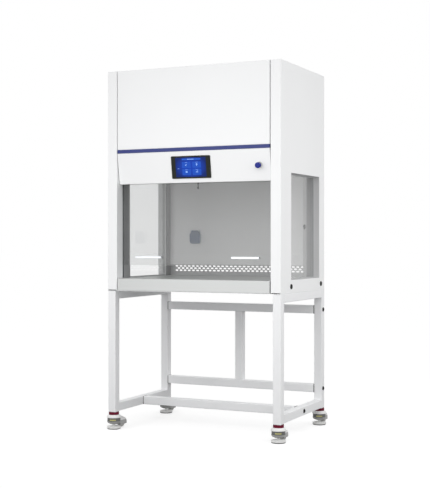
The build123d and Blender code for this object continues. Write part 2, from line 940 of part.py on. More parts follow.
# Airflow probe that hangs from the ceiling
with BuildPart() as airflow_probe:
    with BuildSketch(facing_front(probe_depth)):
        with BuildLine():
            tip = probe_bottom + probe_tip
            Polyline(
                (probe_across, probe_bottom),
                (probe_across + probe_radius, probe_bottom),
                (probe_across + probe_radius, tip),
                (probe_across + probe_neck, tip),
                (probe_across + probe_neck, tip + probe_tip),
                (probe_across + probe_radius, tip + probe_tip),
                (probe_across + probe_radius, ceiling_height - probe_flange_height),
                (probe_across + probe_flange, ceiling_height - probe_flange_height),
                (probe_across + probe_flange, ceiling_height),
                (probe_across, ceiling_height),
                close=True,
            )
        make_face()
    revolve(axis=Axis((probe_across, front + probe_depth, 0), (0, 0, 1)))
airflow_probe.part.label = "airflow_probe"
export_step(airflow_probe.part, "parts/airflow_probe.step")

# Lamps under the ceiling, behind the control panel
lamp_front = front + plenum_back + lamp_gap
with BuildPart() as led_lamp:
    with BuildSketch(facing_right(-lamp_length / 2)):
        lamp_back = lamp_front + lamp_width
        with Locations(((lamp_front + lamp_back) / 2, ceiling_height - lamp_base)):
            Ellipse(lamp_width / 2, lamp_height - lamp_base)
        area(lamp_front, lamp_back, ceiling_height - lamp_base, deck_height, Mode.SUBTRACT)
        area(lamp_front, lamp_back, ceiling_height - lamp_base, ceiling_height)
    extrude(amount=lamp_length)
led_lamp.part.label = "led_lamp"
export_step(led_lamp.part, "parts/led_lamp.step")

holder_front = lamp_back + lamp_gap
with BuildPart() as uv_lamp:
    tube_height = ceiling_height - lamp_height + tube_radius
    with BuildSketch(facing_right(0)):
        with Locations((holder_front + holder_width / 2, tube_height)):
            Circle(tube_radius)
    extrude(amount=lamp_length / 2, both=True)
    for sign in sides.values():
        with BuildSketch(facing_right(sign * lamp_length / 2)):
            area(
                holder_front,
                holder_front + holder_width,
                ceiling_height - lamp_height,
                ceiling_height,
            )
        extrude(amount=sign * holder_length)
uv_lamp.part.label = "uv_lamp"
export_step(uv_lamp.part, "parts/uv_lamp.step")

# Ceiling diffuser, with long slots from front to back
with BuildPart() as diffuser:
    slot_front = front + plenum_back + diffuser_margin
    slot_back = front + back_wall_depth - diffuser_margin
    with BuildSketch(Plane.XY.offset(ceiling_height)):
        area(-inner, inner, front + plenum_back, front + back_wall_depth)
        with Locations((0, (slot_front + slot_back) / 2)):
            with GridLocations(diffuser_pitch, diffuser_pitch, diffuser_count, 1):
                Rectangle(diffuser_slot, slot_back - slot_front, mode=Mode.SUBTRACT)
    extrude(amount=sheet)
diffuser.part.label = "diffuser"
export_step(diffuser.part, "parts/diffuser.step")

# Fine filter, a pleated pack in a deep frame that rests on the diffuser
filter_bottom = ceiling_height + sheet
filter_middle = front + (plenum_back + back_wall_depth) / 2
filter_length = back_wall_depth - plenum_back
with BuildPart() as hepa_filter:
    with BuildSketch(Plane.XY.offset(filter_bottom)):
        with Locations((0, filter_middle)):
            Rectangle(inner_width, filter_length)
            Rectangle(
                inner_width - 2 * filter_wall,
                filter_length - 2 * filter_wall,
                mode=Mode.SUBTRACT,
            )
    extrude(amount=filter_height)
    with BuildSketch(
        Plane(
            origin=(0, filter_middle, filter_bottom + filter_height / 2),
            x_dir=(1, 0, 0),
            z_dir=(0, -1, 0),
        )
    ):
        with BuildLine():
            Polyline(
                *pleats(inner_width - filter_wall, filter_pleat, filter_pleat_height), close=True
            )
        make_face()
    extrude(amount=(filter_length - filter_wall) / 2, both=True)
hepa_filter.part.label = "hepa_filter"
export_step(hepa_filter.part, "parts/hepa_filter.step")

# Plenum deck, folded down at the front, with the blower's outlet cut in it
outlet_front = front + blower_depth + outlet_inner
outlet_back = front + blower_depth + scroll_end
with BuildPart() as plenum_deck:
    with BuildSketch(facing_right(-inner)):
        with BuildLine():
            FilletPolyline(
                (front + plenum_front + sheet / 2, ceiling_height),
                (front + plenum_front + sheet / 2, deck_height + sheet / 2),
                (front + back_wall_depth + sheet, deck_height + sheet / 2),
                radius=bend,
            )
        trace(line_width=sheet)
    extrude(amount=2 * inner)
    with BuildSketch(Plane.XY.offset(deck_height)):
        area(
            -blower_width / 2 + scroll_wall,
            blower_width / 2 - scroll_wall,
            outlet_front + scroll_wall,
            outlet_back - scroll_wall,
        )
    extrude(amount=sheet, mode=Mode.SUBTRACT)
plenum_deck.part.label = "plenum_deck"
export_step(plenum_deck.part, "parts/plenum_deck.step")


def scroll_points(inset):
    # the scroll grows evenly over three quarters of a turn, from below round to the back
    steps = 12
    points = []
    for step in range(steps + 1):
        angle = radians(270 - 270 * step / steps)
        reach = scroll_start * (scroll_end / scroll_start) ** (step / steps) - inset
        points.append((front + blower_depth + reach * cos(angle), blower_height + reach * sin(angle)))
    return points


# Blower housing, a scroll with its outlet down through the deck
with BuildPart() as blower_housing:
    for inset, reach in ((0.0, 0.0), (scroll_wall, scroll_wall)):
        mode = Mode.SUBTRACT if inset else Mode.ADD
        spiral = scroll_points(inset)
        with BuildSketch(facing_right(-blower_width / 2 + reach)):
            with BuildLine():
                Spline(*spiral)
                Polyline(
                    spiral[-1],
                    (outlet_back - inset, deck_height + sheet),
                    (outlet_front + inset, deck_height + sheet),
                    (outlet_front + inset, spiral[0][1]),
                    spiral[0],
                )
            make_face()
        extrude(amount=blower_width - 2 * reach, mode=mode)
    with BuildSketch(facing_right(-blower_width / 2)):
        with Locations((front + blower_depth, blower_height)):
            Circle(inlet_radius)
    extrude(amount=scroll_wall, mode=Mode.SUBTRACT)
    with BuildSketch(facing_right(blower_width / 2)):
        with Locations((front + blower_depth, blower_height)):
            Circle(hub_radius)
    extrude(amount=-scroll_wall, mode=Mode.SUBTRACT)
blower_housing.part.label = "blower_housing"
export_step(blower_housing.part, "parts/blower_housing.step")

# Impeller, swept-back blades between a back plate and a front ring, with its shaft
with BuildPart() as impeller:
    blower_axis = facing_right(-impeller_width / 2)
    eye = Location((front + blower_depth, blower_height))
    root = (blade_root, 0)
    end_angle = radians(-blade_sweep)
    tip_radius = impeller_radius - impeller_plate
    tip_point = (tip_radius * cos(end_angle), tip_radius * sin(end_angle))
    with BuildSketch(mode=Mode.PRIVATE) as blade:
        with BuildLine():
            RadiusArc(root, tip_point, blade_curve)
        trace(line_width=impeller_plate)
    with BuildSketch(blower_axis):
        with Locations(eye):
            with PolarLocations(0, blade_count):
                add(blade.sketch)
    extrude(amount=impeller_width)
    with BuildSketch(blower_axis):
        with Locations(eye):
            Circle(impeller_radius)
            Circle(impeller_eye, mode=Mode.SUBTRACT)
    extrude(amount=impeller_plate)
    with BuildSketch(facing_right(impeller_width / 2)):
        with Locations(eye):
            Circle(impeller_radius)
    extrude(amount=-impeller_plate)
    with BuildSketch(facing_right(impeller_width / 2)):
        with Locations(eye):
            Circle(hub_radius)
    extrude(amount=-hub_length)
    with BuildSketch(facing_right(impeller_width / 2)):
        with Locations(eye):
            Circle(shaft_radius)
    extrude(amount=(blower_width - impeller_width) / 2 + shaft_length)
impeller.part.label = "impeller"
export_step(impeller.part, "parts/impeller.step")

with BuildPart() as blower_motor:
    with BuildSketch(facing_right(blower_width / 2)):
        with Locations(eye):
            Circle(motor_radius)
    extrude(amount=motor_length)
    chamfer(blower_motor.faces().sort_by(Axis.X)[-1].edges(), motor_edge)
    with BuildSketch(facing_right(blower_width / 2)):
        with Locations(eye):
            Circle(motor_flange)
    extrude(amount=motor_flange_height)
    with BuildSketch(facing_right(blower_width / 2)):
        with Locations(eye):
            Circle(shaft_radius + shaft_clearance)
    extrude(amount=shaft_length + 1, mode=Mode.SUBTRACT)
blower_motor.part.label = "blower_motor"
export_step(blower_motor.part, "parts/blower_motor.step")

# Control box on the back of the upper front panel
with BuildPart() as control_box:
    with BuildSketch(facing_front(sheet + control_box_depth)):
        with Locations((0, control_box_bottom + control_box_height / 2)):
            Rectangle(control_box_width, control_box_height)
    extrude(amount=control_box_depth)
    fillet(control_box.faces().sort_by(Axis.Y)[-1].edges(), control_box_edge)
control_box.part.label = "control_box"
export_step(control_box.part, "parts/control_box.step")

# Round hole plugs on the shells, and one on the corner duct
plug_planes = [
    Plane(
        origin=(sign * half, front + depth, plug_level), x_dir=(0, sign, 0), z_dir=(sign, 0, 0)
    )
    for sign in sides.values()
    for depth in (plug_front, plug_back)
]
with BuildPart() as hole_plugs:
    for plane in plug_planes + [duct_face.offset(sheet / 2)]:
        with BuildSketch(plane):
            Circle(plug_radius)
        extrude(amount=plug_height, taper=plug_taper)
        with BuildSketch(plane):
            Circle(plug_hole - plug_clearance)
        extrude(amount=-plug_stem)
hole_plugs.part.label = "hole_plugs"
export_step(hole_plugs.part, "parts/hole_plugs.step")

# Stand, two welded side frames of square tube
for side, sign in sides.items():
    with BuildPart() as stand_side:
        with BuildSketch(Plane.XY.offset(leg_bottom)):
            with Locations(
                (sign * leg_across, front + front_leg), (sign * leg_across, front + rear_leg)
            ):
                tube_section()
        extrude(amount=stand_height - leg_bottom)
        with BuildSketch(facing_front(rear_leg - tube_size / 2)):
            with Locations(
                (sign * leg_across, rail_top), (sign * leg_across, cross_rail_height)
            ):
                tube_section()
        extrude(amount=rear_leg - front_leg - tube_size)
        with BuildSketch(facing_right(sign * half)):
            with Locations(
                (front + rear_leg, rear_bar_top),
                (front + rear_leg, rear_bar_low),
                (front + cross_rail_depth, cross_rail_height),
            ):
                Circle(bolt_radius + bolt_clearance)
        extrude(amount=-sign * tube_size, mode=Mode.SUBTRACT)
        with BuildSketch(Plane.XY.offset(stand_height)):
            with Locations(
                (sign * leg_across, front + front_leg + top_bolt_inset),
                (sign * leg_across, front + rear_leg - top_bolt_inset),
            ):
                Circle(vent_radius)
        extrude(amount=-tube_size, mode=Mode.SUBTRACT)
    stand_side.part.label = f"stand_side_{side}"
    export_step(stand_side.part, f"parts/stand_side_{side}.step")

# Rear frame, two bars and a middle post, with plates in the bars' ends for the bolts
with BuildPart() as stand_rear_frame:
    with BuildSketch(facing_right(-bar_half)):
        with Locations((front + rear_leg, rear_bar_top), (front + rear_leg, rear_bar_low)):
            tube_section()
    extrude(amount=2 * bar_half)
    with BuildSketch(Plane.XY.offset(rear_bar_low + tube_size / 2)):
        with Locations((0, front + rear_leg)):
            tube_section()
    extrude(amount=rear_bar_top - rear_bar_low - tube_size)
    for sign in sides.values():
        with BuildSketch(facing_right(sign * bar_half)):
            with Locations((front + rear_leg, rear_bar_top), (front + rear_leg, rear_bar_low)):
                Rectangle(tube_size - tube_wall, tube_size - tube_wall)
                Circle(bolt_radius + bolt_clearance, mode=Mode.SUBTRACT)
        extrude(amount=-sign * end_plate)
    with BuildSketch(Plane.XY.offset(rear_bar_low)):
        with Locations((0, front + rear_leg)):
            Circle(vent_radius)
    extrude(amount=rear_bar_top - rear_bar_low, mode=Mode.SUBTRACT)
stand_rear_frame.part.label = "stand_rear_frame"
export_step(stand_rear_frame.part, "parts/stand_rear_frame.step")

with BuildPart() as stand_cross_rail:
    with BuildSketch(facing_right(-bar_half)):
        with Locations((front + cross_rail_depth, cross_rail_height)):
            tube_section()
    extrude(amount=2 * bar_half)
    for sign in sides.values():
        with BuildSketch(facing_right(sign * bar_half)):
            with Locations((front + cross_rail_depth, cross_rail_height)):
                Rectangle(tube_size - tube_wall, tube_size - tube_wall)
                Circle(bolt_radius + bolt_clearance, mode=Mode.SUBTRACT)
        extrude(amount=-sign * end_plate)
stand_cross_rail.part.label = "stand_cross_rail"
export_step(stand_cross_rail.part, "parts/stand_cross_rail.step")

# Stand bolts, one through each leg or rail into the plate behind it
with BuildPart() as stand_bolts:
    for sign in sides.values():
        for depth, height in (
            (rear_leg, rear_bar_top),
            (rear_leg, rear_bar_low),
            (cross_rail_depth, cross_rail_height),
        ):
            bolt_plane = Plane(
                origin=(sign * half, front + depth, height), x_dir=(0, sign, 0), z_dir=(sign, 0, 0)
            )
            with BuildSketch(bolt_plane):
                Circle(bolt_head)
            head = extrude(amount=bolt_head_height)
            fillet(head.faces().sort_by(Axis.X)[0 if sign < 0 else -1].edges(), bolt_head_edge)
            with BuildSketch(bolt_plane.offset(bolt_head_height)):
                RegularPolygon(bolt_key, 6)
            extrude(amount=-bolt_key_depth, mode=Mode.SUBTRACT)
            with BuildSketch(bolt_plane):
                Circle(bolt_radius)
            extrude(amount=-tube_size - end_plate - bolt_tail)
stand_bolts.part.label = "stand_bolts"
export_step(stand_bolts.part, "parts/stand_bolts.step")

# Caster stems, each with a flange under the leg and an insert in the tube
with BuildPart() as caster_stems:
    stem_spots = [
        (sign * leg_across, front + depth)
        for sign in sides.values()
        for depth in leg_depths.values()
    ]
    insert_size = tube_size - 2 * (tube_wall + insert_clearance)
    with BuildSketch(Plane.XY.offset(leg_bottom)):
        with Locations(stem_spots):
            RectangleRounded(insert_size, insert_size, tube_inner_corner)
    extrude(amount=insert_height)
    with BuildSketch(Plane.XY.offset(leg_bottom)):
        with Locations(stem_spots):
            RectangleRounded(tube_size, tube_size, tube_corner)
    extrude(amount=-stem_flange)
    with BuildSketch(Plane.XY.offset(leg_bottom)):
        with Locations(stem_spots):
            Circle(stem_radius)
    extrude(amount=stem_end - leg_bottom)
caster_stems.part.label = "caster_stems"
export_step(caster_stems.part, "parts/caster_stems.step")

# Levelling casters, one under each leg, each turned to its own rest angle
for (end, side), angle in rest_angles.items():
    spot = (sides[side] * leg_across, front + leg_depths[end], 0)
    corner = f"{end}_{side}"
    along = (cos(radians(angle)), sin(radians(angle)), 0)
    sideways = (along[1], -along[0], 0)
    level = Plane(origin=spot, x_dir=along, z_dir=(0, 0, 1))
    upright = Plane(origin=spot, x_dir=along, z_dir=sideways)
    swivel = Axis(spot, (0, 0, 1))
    axle_height = wheel_radius + wheel_lift
    pocket = wheel_width / 2 + wheel_gap

    # Housing, a turned bowl and shoulder with a hooded fork behind
    with BuildPart() as caster_housing:
        with BuildSketch(upright):
            with Locations((trail, axle_height)):
                Circle(wheel_radius + wheel_gap + fender)
            with Locations((fork_root_reach, fork_root_rise)):
                Circle(fork_root_radius)
            make_hull()
            area(0, trail + 2 * wheel_radius, -wheel_radius, fork_bottom, Mode.SUBTRACT)
        extrude(amount=pocket + cheek, both=True)
        with BuildSketch(level):
            Circle(foot_radius + foot_gap)
        extrude(amount=housing_bottom, mode=Mode.SUBTRACT)
        with BuildSketch(upright):
            with BuildLine():
                Polyline(
                    (0, housing_bottom),
                    (housing_base_radius, housing_bottom),
                    (bowl_knee_radius, bowl_knee),
                    (bowl_radius, bowl_top),
                    (band_radius, bowl_top),
                    (band_radius, band_top),
                    (shoulder_radius, band_top),
                    (shoulder_radius, shoulder_top),
                    (crown_knee_radius, crown_knee),
                    (crown_radius, housing_top),
                    (0, housing_top),
                    close=True,
                )
            make_face()
        revolve(axis=swivel)
        with BuildSketch(upright):
            with Locations((trail, axle_height)):
                Circle(wheel_radius + wheel_gap)
        extrude(amount=pocket, both=True, mode=Mode.SUBTRACT)
        with BuildSketch(upright):
            with Locations((trail, axle_height)):
                Circle(axle_radius)
        extrude(amount=pocket + cheek, both=True)
        with BuildSketch(level):
            Circle(shank_radius + shank_clearance)
        extrude(amount=shank_top + foot_travel + foot_gap, mode=Mode.SUBTRACT)
        with BuildSketch(level):
            Circle(stem_radius + stem_clearance)
        extrude(amount=housing_top, mode=Mode.SUBTRACT)
    caster_housing.part.label = f"caster_housing_{corner}"
    export_step(caster_housing.part, f"parts/caster_housing_{corner}.step")

    # Wheel, crowned tread with a web thinner than its rim and hub
    with BuildPart() as caster_wheel:
        with BuildSketch(upright):
            with Locations((trail, axle_height)):
                Circle(wheel_radius)
        extrude(amount=wheel_width / 2, both=True)
        chamfer(caster_wheel.edges(), wheel_edge)
        for face_side in (-1, 1):
            with BuildSketch(upright.offset(face_side * wheel_width / 2)):
                with Locations((trail, axle_height)):
                    Circle(wheel_radius - wheel_rim)
                    Circle(wheel_hub, mode=Mode.SUBTRACT)
            extrude(amount=-face_side * wheel_web, mode=Mode.SUBTRACT)
        with BuildSketch(upright):
            with Locations((trail, axle_height)):
                Circle(axle_radius + axle_clearance)
        extrude(amount=wheel_width, both=True, mode=Mode.SUBTRACT)
    caster_wheel.part.label = f"caster_wheel_{corner}"
    export_step(caster_wheel.part, f"parts/caster_wheel_{corner}.step")

    # Foot, a domed pad with the shank that screws up into the housing
    with BuildPart() as caster_foot:
        with BuildSketch(upright):
            with BuildLine():
                Polyline(
                    (0, 0),
                    (foot_sole, 0),
                    (foot_radius, foot_sole_rise),
                    (foot_radius, foot_rim),
                    (foot_hub, foot_crown),
                    (shank_radius, foot_crown),
                    (shank_radius, shank_top),
                    (0, shank_top),
                    close=True,
                )
            make_face()
        revolve(axis=swivel)
    caster_foot.part.label = f"caster_foot_{corner}"
    export_step(caster_foot.part, f"parts/caster_foot_{corner}.step")

    # Thumbwheel, a notched disc between the housing and the leg
    with BuildPart() as thumbwheel:
        with BuildSketch(level.offset(housing_top + thumbwheel_gap)):
            Circle(thumbwheel_radius)
            Circle(stem_radius + stem_clearance, mode=Mode.SUBTRACT)
            with PolarLocations(thumbwheel_radius, thumbwheel_teeth):
                Rectangle(thumbwheel_notch, thumbwheel_notch, mode=Mode.SUBTRACT)
        extrude(amount=leg_bottom - stem_flange - housing_top - 2 * thumbwheel_gap)
    thumbwheel.part.label = f"thumbwheel_{corner}"
    export_step(thumbwheel.part, f"parts/thumbwheel_{corner}.step")
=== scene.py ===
from math import atan2, cos, radians, sin

import bmesh
import bpy
from mathutils import Matrix, Vector


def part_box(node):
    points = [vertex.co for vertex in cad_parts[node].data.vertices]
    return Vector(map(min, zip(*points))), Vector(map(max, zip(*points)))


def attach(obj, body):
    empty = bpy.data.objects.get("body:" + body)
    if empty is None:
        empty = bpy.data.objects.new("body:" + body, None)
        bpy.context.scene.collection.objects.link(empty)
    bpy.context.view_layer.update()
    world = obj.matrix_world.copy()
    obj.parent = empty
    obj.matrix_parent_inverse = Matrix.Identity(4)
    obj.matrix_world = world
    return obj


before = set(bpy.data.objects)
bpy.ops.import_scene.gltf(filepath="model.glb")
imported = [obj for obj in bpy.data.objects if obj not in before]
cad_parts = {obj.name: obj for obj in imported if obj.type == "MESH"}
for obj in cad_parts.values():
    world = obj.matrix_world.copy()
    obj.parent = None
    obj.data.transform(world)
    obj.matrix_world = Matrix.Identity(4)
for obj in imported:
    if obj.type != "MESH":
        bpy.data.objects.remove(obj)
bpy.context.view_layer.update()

sides = {"left": -1, "right": 1}
corners = [end + "_" + side for end in ("front", "rear") for side in sides]
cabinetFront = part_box("side_shell_left")[0].y  # the plane of the columns' front faces
glassLow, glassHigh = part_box("screen_glass")
screenCentre = (glassLow + glassHigh) / 2
print("frame loaded:", len(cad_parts), "nodes")


class Value:
    # a shader socket that takes part in plain arithmetic
    def __init__(self, finish, socket):
        self.finish = finish
        self.socket = socket

    def __add__(self, other):
        return self.finish.join("ADD", self, other)

    def __radd__(self, other):
        return self.finish.join("ADD", other, self)

    def __sub__(self, other):
        return self.finish.join("SUBTRACT", self, other)

    def __rsub__(self, other):
        return self.finish.join("SUBTRACT", other, self)

    def __mul__(self, other):
        return self.finish.join("MULTIPLY", self, other)

    def __rmul__(self, other):
        return self.finish.join("MULTIPLY", other, self)

    def __truediv__(self, other):
        return self.finish.join("DIVIDE", self, other)

    def __rtruediv__(self, other):
        return self.finish.join("DIVIDE", other, self)


class Finish:
    # the nodes of one material, or of the world, under construction
    def __init__(self, owner, output="ShaderNodeOutputMaterial"):
        self.owner = owner
        owner.use_nodes = True
        self.tree = owner.node_tree
        self.tree.nodes.clear()
        self.output = self.tree.nodes.new(output)

    def plug(self, socket, value):
        if isinstance(value, Value):
            self.tree.links.new(value.socket, socket)
        elif socket.type == "RGBA":
            socket.default_value = (*value, 1.0)
        else:
            socket.default_value = value

    def node(self, kind, settings=None, sockets=None, output=0):
        made = self.tree.nodes.new(kind)
        for key, value in (settings or {}).items():
            if key == "stops":
                for element, (position, tone) in zip(made.color_ramp.elements, value):
                    element.position = position
                    element.color = (tone, tone, tone, 1.0)
            else:
                setattr(made, key, value)
        for key, value in (sockets or {}).items():
            self.plug(made.inputs[key], value)
        return Value(self, made.outputs[output])

    def join(self, operation, first, second=0.0):
        return self.node("ShaderNodeMath", {"operation": operation}, {0: first, 1: second})

    def place(self, stretch=(1.0, 1.0, 1.0), shift=(0.0, 0.0, 0.0)):
        spot = self.node("ShaderNodeTexCoord", output="Object")
        sockets = {"Vector": spot, "Location": shift, "Scale": stretch}
        return self.node("ShaderNodeMapping", sockets=sockets)

    def axis(self, name, shift=(0.0, 0.0, 0.0)):
        return self.node("ShaderNodeSeparateXYZ", sockets={0: self.place(shift=shift)}, output=name)

    def noise(self, scale, detail=2.0, roughness=0.5, stretch=(1.0, 1.0, 1.0)):
        spot = self.place(stretch)
        sockets = {"Vector": spot, "Scale": scale, "Detail": detail, "Roughness": roughness}
        return self.node("ShaderNodeTexNoise", sockets=sockets)

    def ramp(self, value, *stops):
        return self.node("ShaderNodeValToRGB", {"stops": stops}, {"Fac": value})

    def mix(self, mask, first, second):
        sockets = {0: mask, 6: first, 7: second}  # 6 and 7 are the node's two colours
        return self.node("ShaderNodeMix", {"data_type": "RGBA"}, sockets, output=2)

    def tint(self, mask, color, darkest, lightest):
        return self.mix(mask, shade(color, darkest), shade(color, lightest))

    def bump(self, height, distance, strength):
        sockets = {"Height": height, "Distance": distance, "Strength": strength}
        return self.node("ShaderNodeBump", sockets=sockets)

    def ray(self, kind):
        return self.node("ShaderNodeLightPath", output="Is " + kind + " Ray")

    def unlessSeen(self, unseen, seen):
        # the second shader where the camera looks, also in a mirror or through glass, else the first
        looking = self.ray("Camera") + self.ray("Glossy") + self.ray("Transmission")
        return self.node("ShaderNodeMixShader", sockets={0: looking, 1: unseen, 2: seen})

    def principled(self, sockets):
        return self.node("ShaderNodeBsdfPrincipled", sockets=sockets)

    def done(self, shader):
        self.tree.links.new(shader.socket, self.output.inputs["Surface"])
        return self.owner


def shade(color, factor):
    return tuple(min(1.0, channel * factor) for channel in color)


def sway(middle, mask, span):
    # a value that a mask moves to both sides of its middle
    return middle + (mask - 0.5) * span


# Finishes

def powderCoat(finish, color, roughness=0.45, peel=0.00004):
    cloud = finish.noise(3.0, detail=3.0)
    fleck = finish.noise(1400.0, detail=1.0)
    return finish.principled({
        "Base Color": finish.tint(cloud * 0.6 + fleck * 0.25, color, 0.97, 1.03),
        "Roughness": sway(roughness, cloud, 0.10),
        "Normal": finish.bump(finish.noise(700.0), distance=peel, strength=0.6),
    })


def brushedSteel(finish, color, roughness, metallic=1.0):
    lines = finish.noise(45.0, detail=4.0, roughness=0.65, stretch=(1.0, 60.0, 60.0))
    cloud = finish.noise(2.5)
    return finish.principled({
        "Base Color": finish.tint(lines, color, 0.93, 1.05),
        "Metallic": metallic,
        "Roughness": sway(sway(roughness, lines, 0.16), cloud, 0.06),
        "Normal": finish.bump(lines, distance=0.00003, strength=0.5),
    })


def linerPaintedShade(finish, color, jamb, edge):
    # painted shade: the skin beside the chamber gets a dark tone that stands in for the shade and dark
    # reflection on it, darker than the window jambs, which start at the edge
    outer = finish.join("GREATER_THAN", finish.join("ABSOLUTE", finish.axis("X")), edge)
    cloud = finish.noise(3.0, detail=3.0)
    skinShadeTint = finish.tint(cloud, color, 0.96, 1.04)
    jambTint = finish.tint(cloud, jamb, 0.97, 1.03)
    return finish.principled({
        "Base Color": finish.mix(outer, skinShadeTint, jambTint),
        "Roughness": sway(0.45, cloud, 0.10),
        "Normal": finish.bump(finish.noise(700.0), distance=0.00004, strength=0.6),
    })


def layered(finish, color, above, roughness=0.45):
    # bands of colour: one from the floor up, then one above each height
    height = finish.axis("Z")
    cloud = finish.noise(40.0)
    tint = finish.tint(cloud, color, 0.95, 1.04)
    for level, tone in above:
        over = finish.join("GREATER_THAN", height, level)
        tint = finish.mix(over, tint, finish.tint(cloud, tone, 0.97, 1.02))
    return finish.principled({
        "Base Color": tint,
        "Roughness": sway(roughness, cloud, 0.10),
        "Specular IOR Level": 0.35,
        "Normal": finish.bump(finish.noise(900.0), distance=0.00005, strength=0.6),
    })


def plastic(finish, color, roughness=0.5, shine=0.5, grain=900.0, depth=0.00006):
    cloud = finish.noise(25.0)
    pores = finish.noise(grain, detail=3.0)
    return finish.principled({
        "Base Color": finish.tint(cloud, color, 0.88, 1.10),
        "Roughness": sway(roughness, pores, 0.16),
        "Specular IOR Level": shine,
        "Normal": finish.bump(pores, distance=depth, strength=0.7),
    })


def metal(finish, color, roughness):
    cloud = finish.noise(40.0, detail=3.0)
    scratch = finish.noise(500.0, roughness=0.6, stretch=(1.0, 1.0, 0.1))
    return finish.principled({
        "Base Color": finish.tint(cloud, color, 0.94, 1.04),
        "Metallic": 1.0,
        "Roughness": sway(roughness, scratch, 0.12),
        "Normal": finish.bump(scratch, distance=0.00001, strength=0.4),
    })


def clearGlass(finish, color):
    # light passes straight through for shadows and bounces, so the chamber is lit
    smear = finish.noise(6.0, detail=4.0, roughness=0.6)
    pane = finish.principled({
        "Base Color": finish.tint(smear, color, 0.985, 1.0),
        "Roughness": finish.ramp(smear, (0.5, 0.0), (0.8, 0.03)),
        "Transmission Weight": 1.0,
        "IOR": 1.45,
    })
    passing = finish.join("MAXIMUM", finish.ray("Shadow"), finish.ray("Diffuse"))
    clear = finish.node("ShaderNodeBsdfTransparent", sockets={"Color": color})
    return finish.node("ShaderNodeMixShader", sockets={0: passing, 1: pane, 2: clear})


def filterPaper(finish, color):
    fibres = finish.noise(420.0, detail=5.0, roughness=0.7)
    return finish.principled({
        "Base Color": finish.tint(fibres, color, 0.86, 1.0),
        "Roughness": sway(0.85, fibres, 0.1),
        "Normal": finish.bump(fibres, distance=0.0002, strength=0.8),
    })


def litDisplay(finish, color, edge, strength, reach):
    # the touchscreen's ground: brighter in the middle of the glass
    toMiddle = tuple(-screenCentre)
    across = finish.axis("X", toMiddle) / reach[0]
    upward = finish.axis("Z", toMiddle) / reach[1]
    far = finish.ramp(across * across + upward * upward, (0.1, 0.0), (1.0, 1.0))
    glow = finish.mix(far, color, edge)
    return finish.principled({
        "Base Color": glow,
        "Roughness": sway(0.2, finish.noise(2600.0, detail=0.0), 0.04),
        "Specular IOR Level": 0.1,
        "Emission Color": glow,
        "Emission Strength": strength,
    })


def litMark(finish, color, strength):
    glow = finish.tint(finish.noise(60.0), color, 0.9, 1.1)
    return finish.principled({
        "Base Color": glow,
        "Roughness": 0.3,
        "Specular IOR Level": 0.1,
        "Emission Color": glow,
        "Emission Strength": strength,
    })


